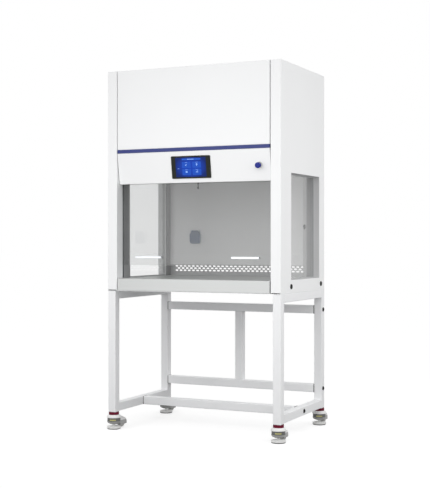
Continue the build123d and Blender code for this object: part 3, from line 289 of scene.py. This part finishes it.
# for each finish: what makes it, its main colour, and its other values
finishes = {
    "cabinetWhite": (powderCoat, (0.88, 0.885, 0.89), {"roughness": 0.42}),
    "standWhite": (powderCoat, (0.87, 0.875, 0.885), {}),
    "linerGrey": (powderCoat, (0.82, 0.815, 0.815), {}),
    # the liner skin's dark tone is painted shade and reflection, the jambs keep a lighter paint
    "linerSkinShade": (linerPaintedShade, (0.30, 0.30, 0.305), {"jamb": (0.62, 0.62, 0.625), "edge": 0.4016}),
    "ductGrey": (powderCoat, (0.56, 0.555, 0.56), {}),
    "plenumZinc": (brushedSteel, (0.62, 0.63, 0.64), {"roughness": 0.4}),
    "apronSteel": (brushedSteel, (0.53, 0.54, 0.535), {"roughness": 0.46, "metallic": 0.35}),
    "stripSteel": (powderCoat, (0.52, 0.52, 0.525), {}),
    "trimBlue": (powderCoat, (0.014, 0.027, 0.17), {}),
    "sashGlass": (clearGlass, (0.755, 0.76, 0.76), {}),
    "windowGlass": (clearGlass, (0.94, 0.945, 0.945), {}),
    "guideGrey": (plastic, (0.09, 0.095, 0.10), {"shine": 0.3}),
    "pullAluminium": (metal, (0.64, 0.66, 0.68), {"roughness": 0.45}),
    "bezelBlack": (plastic, (0.012, 0.014, 0.010), {"shine": 0.15}),
    "chrome": (metal, (0.50, 0.50, 0.50), {"roughness": 0.22}),
    "buttonBlue": (
        plastic, (0.010, 0.020, 0.22), {"roughness": 0.4, "shine": 0.25, "grain": 1500.0, "depth": 0.00002}
    ),
    "socketGrey": (plastic, (0.48, 0.52, 0.56), {}),
    "lidBlue": (plastic, (0.16, 0.20, 0.28), {"roughness": 0.45}),
    "blackPlastic": (plastic, (0.008, 0.008, 0.008), {"roughness": 0.6, "shine": 0.1}),
    "filterPaper": (filterPaper, (0.86, 0.86, 0.82), {}),
    "bareAluminium": (metal, (0.72, 0.73, 0.74), {"roughness": 0.35}),
    "motorGrey": (powderCoat, (0.12, 0.125, 0.13), {"roughness": 0.5, "peel": 0.0002}),
    "lampWhite": (plastic, (0.88, 0.88, 0.86), {"roughness": 0.4}),
    "probeSteel": (metal, (0.03, 0.03, 0.031), {"roughness": 0.5}),
    "boltBlack": (metal, (0.015, 0.015, 0.016), {"roughness": 0.5}),
    "zinc": (metal, (0.62, 0.63, 0.64), {"roughness": 0.35}),
    "casterWhite": (layered, (0.42, 0.42, 0.415), {"above": [(0.0385, (0.84, 0.84, 0.835))]}),
    "casterRed": (plastic, (0.15, 0.004, 0.024), {"shine": 0.2}),
    "footPad": (
        layered, (0.62, 0.62, 0.61),
        {"above": [(0.0025, (0.10, 0.10, 0.10)), (0.0052, (0.84, 0.84, 0.83))], "roughness": 0.5},
    ),
    "nylon": (plastic, (0.62, 0.62, 0.60), {"roughness": 0.42}),
    "display": (
        litDisplay, (0.005, 0.035, 0.30),
        {"edge": (0.002, 0.012, 0.10), "strength": 0.55, "reach": (0.085, 0.055)},
    ),
    "tileBlue": (litMark, (0.009, 0.055, 0.34), {"strength": 0.55}),
    "headerBlue": (litMark, (0.014, 0.075, 0.40), {"strength": 0.6}),
    "iconPale": (litMark, (0.20, 0.34, 0.66), {"strength": 0.6}),
    "sealGrey": (plastic, (0.50, 0.505, 0.51), {"roughness": 0.6, "shine": 0.3}),
    "bandDark": (plastic, (0.16, 0.16, 0.155), {"roughness": 0.55, "shine": 0.3}),
    "stripeYellow": (plastic, (0.56, 0.52, 0.20), {"shine": 0.3}),
    # the dark sleeves at the bar joints: painted shadow of the gaps there
    "jointShadow": (plastic, (0.10, 0.10, 0.10), {"roughness": 0.6, "shine": 0.2}),
}
paints = {}
for name, (make, color, values) in finishes.items():
    finish = Finish(bpy.data.materials.new(name))
    paints[name] = finish.done(make(finish, color, **values))

nodeFinish = {
    "base_pan": "cabinetWhite", "side_shell_left": "cabinetWhite", "side_shell_right": "cabinetWhite",
    "top_cover": "cabinetWhite", "rear_panel": "cabinetWhite", "upper_front_panel": "cabinetWhite",
    "control_panel": "cabinetWhite", "trim_strip": "trimBlue", "side_liner_left": "linerSkinShade",
    "side_liner_right": "linerSkinShade", "back_wall": "linerGrey", "plenum_deck": "plenumZinc",
    "service_duct": "ductGrey", "slot_strip": "stripSteel", "work_surface": "apronSteel",
    "diffuser": "linerGrey", "side_window_left": "windowGlass", "side_window_right": "windowGlass",
    "sash_glass": "sashGlass", "sash_guides": "guideGrey", "sash_pulls": "pullAluminium",
    "screen_bezel": "bezelBlack", "screen_glass": "display", "button_bezel": "chrome",
    "button_cap": "buttonBlue", "socket_box": "socketGrey", "socket_lid": "lidBlue",
    "airflow_probe": "probeSteel", "led_lamp": "lampWhite", "uv_lamp": "lampWhite",
    "prefilter": "filterPaper", "hepa_filter": "filterPaper", "blower_housing": "plenumZinc",
    "impeller": "bareAluminium", "blower_motor": "motorGrey", "control_box": "blackPlastic",
    "power_inlet": "blackPlastic", "hole_plugs": "blackPlastic", "stand_side_left": "standWhite",
    "stand_side_right": "standWhite", "stand_rear_frame": "standWhite",
    "stand_cross_rail": "standWhite", "stand_bolts": "boltBlack", "caster_stems": "zinc",
}
for corner in corners:
    nodeFinish["caster_housing_" + corner] = "casterWhite"
    nodeFinish["caster_wheel_" + corner] = "nylon"
    nodeFinish["caster_foot_" + corner] = "footPad"
    nodeFinish["thumbwheel_" + corner] = "casterRed"

for nodeName, finishName in nodeFinish.items():
    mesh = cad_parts[nodeName].data
    mesh.materials.clear()
    mesh.materials.append(paints[finishName])
print("finishes on", len(nodeFinish), "nodes")


# Mesh helpers

def addObject(name, data):
    made = bpy.data.objects.new(name, data)
    bpy.context.scene.collection.objects.link(made)
    return made


def finishPiece(bm, name, finishName, body):
    bmesh.ops.remove_doubles(bm, verts=bm.verts, dist=1e-7)
    bmesh.ops.recalc_face_normals(bm, faces=bm.faces)
    mesh = bpy.data.meshes.new(name)
    bm.to_mesh(mesh)
    bm.free()
    mesh.materials.append(paints[finishName])
    piece = addObject(name, mesh)
    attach(piece, body)
    return piece


def addPlate(bm, placeMatrix, width, height, thickness, corner=0.0):
    # a flat plate on its own plane, centred, its corners rounded, raised along the plane's normal
    verts = bmesh.ops.create_grid(bm, x_segments=1, y_segments=1, size=0.5)["verts"]
    bmesh.ops.scale(bm, vec=(width, height, 1.0), verts=verts)
    if corner:
        verts = bmesh.ops.bevel(
            bm, geom=verts, offset=corner, segments=3, profile=0.5, affect="VERTICES", material=-1
        )["verts"]
    face = next(face for face in bm.faces if all(vert in verts for vert in face.verts))
    bottom = list(face.verts)
    raised = bmesh.ops.extrude_face_region(bm, geom=[face])
    top = [part for part in raised["geom"] if isinstance(part, bmesh.types.BMVert)]
    bmesh.ops.translate(bm, vec=(0, 0, thickness), verts=top)
    bmesh.ops.transform(bm, matrix=placeMatrix, verts=bottom + top)


def addBox(bm, low, high):
    verts = bmesh.ops.create_cube(bm, size=1.0)["verts"]
    bmesh.ops.scale(bm, vec=high - low, verts=verts)
    bmesh.ops.translate(bm, vec=(low + high) / 2, verts=verts)


def addDisc(bm, placeMatrix, radius, height, steps, taper=1.0):
    # a round disc about its own middle, its far face narrower by the taper
    verts = bmesh.ops.create_cone(
        bm, cap_ends=True, segments=steps, radius1=radius, radius2=radius * taper, depth=height
    )["verts"]
    bmesh.ops.transform(bm, matrix=placeMatrix, verts=verts)


# Picture on the touchscreen: header bar, four tiles, plain icons

lineCorner = 0.0022 / 3  # a third of the width of an icon's line
screen = {
    "lean": 0.022, "rise": 0.148,  # the control panel leans back by the first over the second
    "glassHalf": 0.001, "raise": 0.00015,
    "tileWidth": 0.045, "tileHeight": 0.029, "tilePitchX": 0.054, "tilePitchY": 0.034,
    "tileShiftX": 0.004, "tileDrop": 0.006, "tileCorner": 0.0025,
    "headerWidth": 0.098, "headerHeight": 0.007, "headerRise": 0.037, "headerCorner": 0.001,
    "bulbRise": 0.002, "bulbRadius": 0.00403, "bulbSteps": 24,
    # marks are small plates: across, up, width, height, turn in radians, corner radius
    "icons": {
        "slider": [
            (0.0, 0.001, 0.00975, 0.0022, 0.7, lineCorner),
            (-0.003, -0.002, 0.00352, 0.0065, 0.7, lineCorner),
        ],
        "lamp": [(0.0, -0.004525, 0.0039, 0.0022, 0.0, lineCorner)],
        "button": [(0.0, 0.001, 0.00975, 0.007475, 0.0, 0.0012)],
        "bars": [
            (-0.00374, 0.0002, 0.0022, 0.0052, 0.0, lineCorner),
            (0.0, 0.001, 0.0022, 0.007475, 0.0, lineCorner),
            (0.00374, 0.0018, 0.0022, 0.00975, 0.0, lineCorner),
        ],
    },
    "tileTitle": (0.0, 0.01102, 0.01235, 0.00121, 0.0, 0.0),
    "headerLine": (0.0, 0.037, 0.034, 0.00264, 0.0, 0.0),
    "chevron": [
        (-0.06795, -0.006, 0.00585, 0.00132, 0.7, 0.0),
        (-0.06305, -0.006, 0.00585, 0.00132, -0.7, 0.0),
    ],
}
slope = atan2(screen["lean"], screen["rise"])
screenUp = Vector((0, -sin(slope), cos(slope)))
screenOut = Vector((0, -cos(slope), -sin(slope)))
screenBasis = Matrix((Vector((1, 0, 0)), screenUp, screenOut)).transposed().to_4x4()


def onScreen(across, up, lift=0.0, turn=0.0):
    outward = screenOut * (screen["glassHalf"] + lift)
    spot = screenCentre + Vector((across, 0, 0)) + screenUp * up + outward
    return Matrix.Translation(spot) @ screenBasis @ Matrix.Rotation(turn, 4, "Z")


def addMark(bm, mark, middle=(0.0, 0.0)):
    across, up, width, height, turn, corner = mark
    lift = screen["raise"]
    spot = onScreen(middle[0] + across, middle[1] + up, lift, turn)
    addPlate(bm, spot, width, height, lift, corner)


def buildScreenPicture():
    tileSpots = [
        (screen["tileShiftX"] + column * screen["tilePitchX"] / 2,
         row * screen["tilePitchY"] / 2 - screen["tileDrop"])
        for row in (1, -1) for column in (-1, 1)
    ]
    tiles = bmesh.new()
    for across, up in tileSpots:
        addPlate(
            tiles, onScreen(across, up), screen["tileWidth"], screen["tileHeight"], screen["raise"],
            screen["tileCorner"],
        )
    finishPiece(tiles, "screenTiles", "tileBlue", "root")

    header = bmesh.new()
    addPlate(
        header, onScreen(screen["tileShiftX"], screen["headerRise"]), screen["headerWidth"],
        screen["headerHeight"], screen["raise"], screen["headerCorner"],
    )
    finishPiece(header, "screenHeader", "headerBlue", "root")

    pale = bmesh.new()
    for spot, (icon, marks) in zip(tileSpots, screen["icons"].items()):
        if icon == "lamp":
            bulb = bmesh.ops.create_circle(
                pale, cap_ends=True, segments=screen["bulbSteps"], radius=screen["bulbRadius"]
            )
            move = onScreen(spot[0], spot[1] + screen["bulbRise"], screen["raise"] * 2)
            bmesh.ops.transform(pale, matrix=move, verts=bulb["verts"])
        for mark in (*marks, screen["tileTitle"]):
            addMark(pale, mark, spot)
    for mark in (*screen["chevron"], screen["headerLine"]):
        addMark(pale, mark)
    finishPiece(pale, "screenIcons", "iconPale", "root")


buildScreenPicture()
print("screen picture made")

# Seals round the side panes, inside and outside

seal = {"width": 0.005, "depth": 0.004}


def buildWindowSeals():
    wide = seal["width"]
    for side in sides:
        low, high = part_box("side_window_" + side)
        strips = [
            (low.y, high.y, low.z, low.z + wide), (low.y, high.y, high.z - wide, high.z),
            (low.y, low.y + wide, low.z + wide, high.z - wide),
            (high.y - wide, high.y, low.z + wide, high.z - wide),
        ]
        bm = bmesh.new()
        for nearX, farX in ((low.x - seal["depth"], low.x), (high.x, high.x + seal["depth"])):
            for nearY, farY, lowZ, highZ in strips:
                addBox(bm, Vector((nearX, nearY, lowZ)), Vector((farX, farY, highZ)))
        finishPiece(bm, "windowSeal_" + side, "sealGrey", "root")


buildWindowSeals()
print("window seals made")

# Recessed band and yellow stripe on each caster

caster = {
    "wall": 0.0004, "bandRadius": 0.0311, "bandLow": 0.0385, "bandHigh": 0.0555, "bandSteps": 64,
    "stripeRadius": 0.0316, "stripeLow": 0.0432, "stripeHigh": 0.0484, "stripeStart": -97.0,
    "stripeSpan": 54.0, "stripeSteps": 16,
}


def addSleeve(bm, centre, radius, low, high, start, span, steps):
    # a thin curved wall: a small rectangle spun round the swivel axis, with no ends on a full turn
    outside = radius + caster["wall"]
    spots = ((radius, 0, low), (outside, 0, low), (outside, 0, high), (radius, 0, high))
    profile = [bm.verts.new(spot) for spot in spots]
    face = bm.faces.new(profile)
    edges = list(face.edges)
    turned = Matrix.Rotation(radians(start), 3, "Z")
    bmesh.ops.rotate(bm, cent=(0, 0, 0), matrix=turned, verts=profile)
    full = span == 360
    if full:
        bmesh.ops.delete(bm, geom=[face], context="FACES_ONLY")
    bmesh.ops.spin(
        bm, geom=profile + edges + ([] if full else [face]), cent=(0, 0, 0), axis=(0, 0, 1),
        angle=radians(span), steps=steps, use_merge=full,
    )
    bmesh.ops.translate(bm, vec=centre, verts=bm.verts)


def buildCasterBands():
    for corner in corners:
        low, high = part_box("thumbwheel_" + corner)
        centre = Vector(((low.x + high.x) / 2, (low.y + high.y) / 2, 0))
        body = "caster_housing_" + corner
        band = bmesh.new()
        addSleeve(
            band, centre, caster["bandRadius"], caster["bandLow"], caster["bandHigh"], 0, 360,
            caster["bandSteps"],
        )
        finishPiece(band, "casterBand_" + corner, "bandDark", body)
        stripe = bmesh.new()
        addSleeve(
            stripe, centre, caster["stripeRadius"], caster["stripeLow"], caster["stripeHigh"],
            caster["stripeStart"], caster["stripeSpan"], caster["stripeSteps"],
        )
        finishPiece(stripe, "casterStripe_" + corner, "stripeYellow", body)


buildCasterBands()
print("caster bands made")

# Wide head of the push button, over the collar

buttonHead = {
    "radius": 0.0134, "edge": 0.0025, "steps": 40,
    "low": 0.0140, "high": 0.0255,  # distances out from the control panel
    "panelTop": 1.333, "drop": 0.076,  # the panel's top edge, and the head's place down its slope
}


def buildButtonHead():
    low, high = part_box("button_bezel")
    panelTop = Vector(((low.x + high.x) / 2, cabinetFront, buttonHead["panelTop"]))
    centre = panelTop - screenUp * buttonHead["drop"]
    middle = (buttonHead["low"] + buttonHead["high"]) / 2
    bm = bmesh.new()
    bmesh.ops.create_cone(
        bm, cap_ends=True, segments=buttonHead["steps"], radius1=buttonHead["radius"],
        radius2=buttonHead["radius"], depth=buttonHead["high"] - buttonHead["low"],
    )
    rims = [edge for edge in bm.edges if abs(edge.verts[0].co.z - edge.verts[1].co.z) < 1e-6]
    bmesh.ops.bevel(
        bm, geom=rims, offset=buttonHead["edge"], segments=3, profile=0.5, affect="EDGES", material=-1
    )
    move = Matrix.Translation(centre + screenOut * middle) @ screenBasis
    bmesh.ops.transform(bm, matrix=move, verts=bm.verts)
    piece = finishPiece(bm, "buttonHead", "buttonBlue", "button")
    for polygon in piece.data.polygons:
        polygon.use_smooth = True


buildButtonHead()
print("button head made")

# Painted shadow: dark bands round the ends of the rear frame's bars and the cross rail, where they meet the
# legs, stand in for the shadow in the gap at each joint; and a round black cap under the head of each head
# of each bolt, on the leg's outer face

joint = {"reach": 0.0003, "length": 0.0030, "capRadius": 0.0105, "capHeight": 0.0014, "capSteps": 36}


def buildJoints():
    bars = bmesh.new()
    caps = bmesh.new()
    frameLow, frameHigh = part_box("stand_rear_frame")
    railLow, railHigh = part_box("stand_cross_rail")
    tube = railHigh.z - railLow.z
    ends = [
        (frameLow.y, frameHigh.y, frameHigh.z - tube, frameHigh.z),
        (frameLow.y, frameHigh.y, frameLow.z, frameLow.z + tube),
        (railLow.y, railHigh.y, railLow.z, railHigh.z),
    ]
    out = joint["reach"]
    for nearY, farY, lowZ, highZ in ends:
        for sign in sides.values():
            end = frameHigh.x * sign
            inside = end - sign * joint["length"]
            # each band is painted shadow: a dark sleeve where the shade of the joint's gap falls
            addBox(
                bars, Vector((min(end, inside), nearY - out, lowZ - out)),
                Vector((max(end, inside), farY + out, highZ + out)),
            )
            outer = sign * (frameHigh.x + tube + joint["capHeight"] / 2)
            spot = Vector((outer, (nearY + farY) / 2, (lowZ + highZ) / 2))
            move = Matrix.Translation(spot) @ Matrix.Rotation(radians(90), 4, "Y")
            addDisc(caps, move, joint["capRadius"], joint["capHeight"], joint["capSteps"])
    finishPiece(bars, "barJointShadows", "jointShadow", "root")
    finishPiece(caps, "boltCaps", "blackPlastic", "root")


buildJoints()
print("bar joints made")

# Screws on the rear panel and the base pan's upstand, each with a crossed slot drawn as two dark bars on
# the head: painted shade of the slot's recess

screw = {
    "radius": 0.0042, "height": 0.0018, "taper": 0.8, "steps": 24, "slotLength": 0.00462,
    "slotWidth": 0.0011, "slotDepth": 0.0002, "slotTurn": 23,
    "rearAcross": (-0.436, 0.436), "rearUp": (0.83, 1.04, 1.26, 1.48, 1.70),
    "panAcross": (-0.40, -0.14, 0.14, 0.40), "panUp": 0.716,
}


def buildScrews():
    heads = bmesh.new()
    slotShades = bmesh.new()
    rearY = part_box("rear_panel")[1].y
    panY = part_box("base_pan")[1].y
    spots = [(x, rearY, z) for x in screw["rearAcross"] for z in screw["rearUp"]]
    spots += [(x, panY, screw["panUp"]) for x in screw["panAcross"]]
    toRear = Matrix.Rotation(radians(-90), 4, "X")
    slotSize = (screw["slotLength"], screw["slotWidth"], screw["slotDepth"])
    for index, (x, y, z) in enumerate(spots):
        move = Matrix.Translation((x, y + screw["height"] / 2, z)) @ toRear
        addDisc(heads, move, screw["radius"], screw["height"], screw["steps"], screw["taper"])
        # the dark bars are painted shade where the slot is recessed into the head
        for turn in (0, 90):
            bar = bmesh.ops.create_cube(slotShades, size=1.0)
            bmesh.ops.scale(slotShades, vec=slotSize, verts=bar["verts"])
            spin = Matrix.Rotation(radians(turn + screw["slotTurn"] * index), 4, "Z")
            move = Matrix.Translation((x, y + screw["height"], z)) @ toRear @ spin
            bmesh.ops.transform(slotShades, matrix=move, verts=bar["verts"])
    finishPiece(heads, "panelScrews", "zinc", "root")
    finishPiece(slotShades, "screwSlotShade", "boltBlack", "root")


buildScrews()
print("screws made")

# Stage: floor, world and lamps

stage = {"floorSize": 60.0, "floorTone": 0.46, "floorBounce": 0.12, "worldLight": 0.76}
# two wide softboxes close to the object: where each hangs, what it faces, its size and power
softboxes = {
    "frontBox": {"place": (0.05, -1.50, 1.15), "aim": (0.05, 0.0, 1.10), "size": (2.5, 2.0), "power": 17.4},
    "rightBox": {"place": (1.75, -0.05, 1.30), "aim": (0.0, 0.0, 1.20), "size": (2.2, 2.0), "power": 12.5},
}


def buildFloor():
    bm = bmesh.new()
    bmesh.ops.create_grid(bm, x_segments=1, y_segments=1, size=stage["floorSize"])
    mesh = bpy.data.meshes.new("floor")
    bm.to_mesh(mesh)
    bm.free()
    finish = Finish(bpy.data.materials.new("floorPaper"))
    bounce = finish.node("ShaderNodeBsdfDiffuse", sockets={"Color": (stage["floorBounce"],) * 3})
    # the paper's own glow makes up what its colour and the light on it leave short of white
    shortfall = 1.0 - stage["floorTone"] * stage["worldLight"]
    shadowed = finish.node("ShaderNodeBsdfDiffuse", sockets={"Color": (stage["floorTone"],) * 3})
    glow = finish.node("ShaderNodeEmission", sockets={"Strength": shortfall})
    paper = finish.node("ShaderNodeAddShader", sockets={0: shadowed, 1: glow})
    mesh.materials.append(finish.done(finish.unlessSeen(bounce, paper)))
    floor = addObject("floor", mesh)


def buildWorld():
    world = bpy.data.worlds.new("studio")
    bpy.context.scene.world = world
    studio = Finish(world, "ShaderNodeOutputWorld")
    white = (1.0, 1.0, 1.0)
    light = studio.node(
        "ShaderNodeBackground", sockets={"Color": white, "Strength": stage["worldLight"]}
    )
    paper = studio.node("ShaderNodeBackground", sockets={"Color": white})
    studio.done(studio.unlessSeen(light, paper))


def buildLamps():
    for name, box in softboxes.items():
        light = bpy.data.lights.new(name, "AREA")
        light.shape = "RECTANGLE"
        light.size, light.size_y = box["size"]
        light.energy = box["power"]
        holder = addObject(name, light)
        holder.location = box["place"]
        aim = Vector(box["aim"]) - holder.location
        holder.rotation_euler = aim.to_track_quat("-Z", "Y").to_euler()


# Camera, from the photograph's own perspective: metres and degrees, the lens in millimetres

photo = {
    "across": 2.25260, "ahead": -4.50646, "height": 0.91380, "turn": 25.285, "dip": 0.18,
    "lens": 79.63, "sensor": 36.0, "clip": (0.1, 100.0),
}


def buildCamera():
    data = bpy.data.cameras.new("camera")
    data.sensor_width = photo["sensor"]
    data.lens = photo["lens"]
    data.clip_start, data.clip_end = photo["clip"]
    camera = addObject("camera", data)
    turn = radians(photo["turn"])
    dip = radians(photo["dip"])
    look = Vector((-sin(turn) * cos(dip), cos(turn) * cos(dip), -sin(dip)))
    camera.rotation_mode = "QUATERNION"
    camera.rotation_quaternion = look.to_track_quat("-Z", "Y")
    camera.location = (photo["across"], photo["ahead"] + cabinetFront, photo["height"])
    bpy.context.scene.camera = camera


buildFloor()
buildWorld()
buildLamps()
buildCamera()
bpy.context.scene.view_settings.view_transform = "Standard"
print("stage set")
